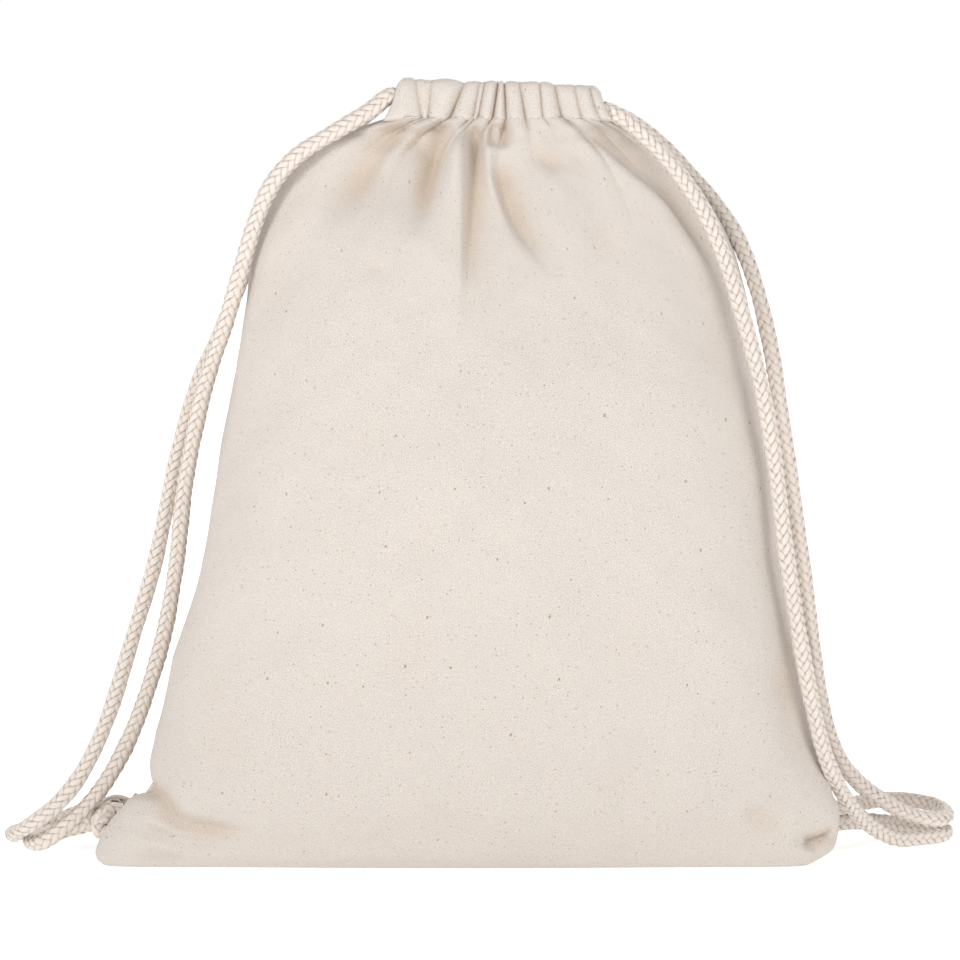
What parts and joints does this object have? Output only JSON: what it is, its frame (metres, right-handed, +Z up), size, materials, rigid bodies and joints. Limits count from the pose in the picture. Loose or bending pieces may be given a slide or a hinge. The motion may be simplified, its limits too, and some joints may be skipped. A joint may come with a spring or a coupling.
{
  "type": "drawstring backpack",
  "caption": "Cloth sack on its base with a gathered mouth that two braided cords draw shut; the cords hang as straps to knotted tape loops at the bottom corners.",
  "frame": {"origin": "middle of the bag's base, on the floor it stands on", "axes": "+Z up, -Y out of the front, +X to the right when seen from the front"},
  "size_m": [0.4588, 0.1472, 0.366],
  "materials": {
    "cotton_cloth": "natural unbleached plain-weave cotton, matt, with small brown seed flecks",
    "overlocked_edge": "overlocked raw edge of the cotton cloth",
    "cotton_tape": "woven cotton tape, matt",
    "sewing_thread": "cream sewing thread",
    "cotton_cord": "soft round braid of natural cotton strands"
  },
  "bodies": {
    "bag": {"front_panel": "cotton_cloth", "back_panel": "cotton_cloth", "side_seam_left": "overlocked_edge", "side_seam_right": "overlocked_edge", "bottom_seam": "overlocked_edge", "corner_loop_left": "cotton_tape", "corner_loop_right": "cotton_tape", "bartack_left": "sewing_thread", "bartack_right": "sewing_thread", "left_cord_turn": "cotton_cord", "left_cord_front_strand": "cotton_cord", "left_cord_back_strand": "cotton_cord", "left_cord_knot": "cotton_cord", "right_cord_turn": "cotton_cord", "right_cord_front_strand": "cotton_cord", "right_cord_back_strand": "cotton_cord", "right_cord_knot": "cotton_cord"},
    "front_lip": {"front_channel": "cotton_cloth", "front_topstitch": "sewing_thread", "left_cord_front_run": "cotton_cord", "right_cord_front_run": "cotton_cord"},
    "back_lip": {"back_channel": "cotton_cloth", "back_topstitch": "sewing_thread", "left_cord_back_run": "cotton_cord", "right_cord_back_run": "cotton_cord"}
  },
  "joints": [
    {"name": "front_lip_hinge", "type": "hinge", "parent": "bag", "child": "front_lip", "pos_m": [0.01475, -0.0161, 0.3488], "axis": [1, 0, 0], "range_deg": [0, 45], "deforming": ["left_cord_front_strand", "right_cord_front_strand", "left_cord_turn"]},
    {"name": "back_lip_hinge", "type": "hinge", "parent": "bag", "child": "back_lip", "pos_m": [0.01475, 0.0161, 0.3488], "axis": [-1, 0, 0], "range_deg": [0, 45], "deforming": ["left_cord_back_strand", "right_cord_back_strand", "right_cord_turn"]}
  ]
}
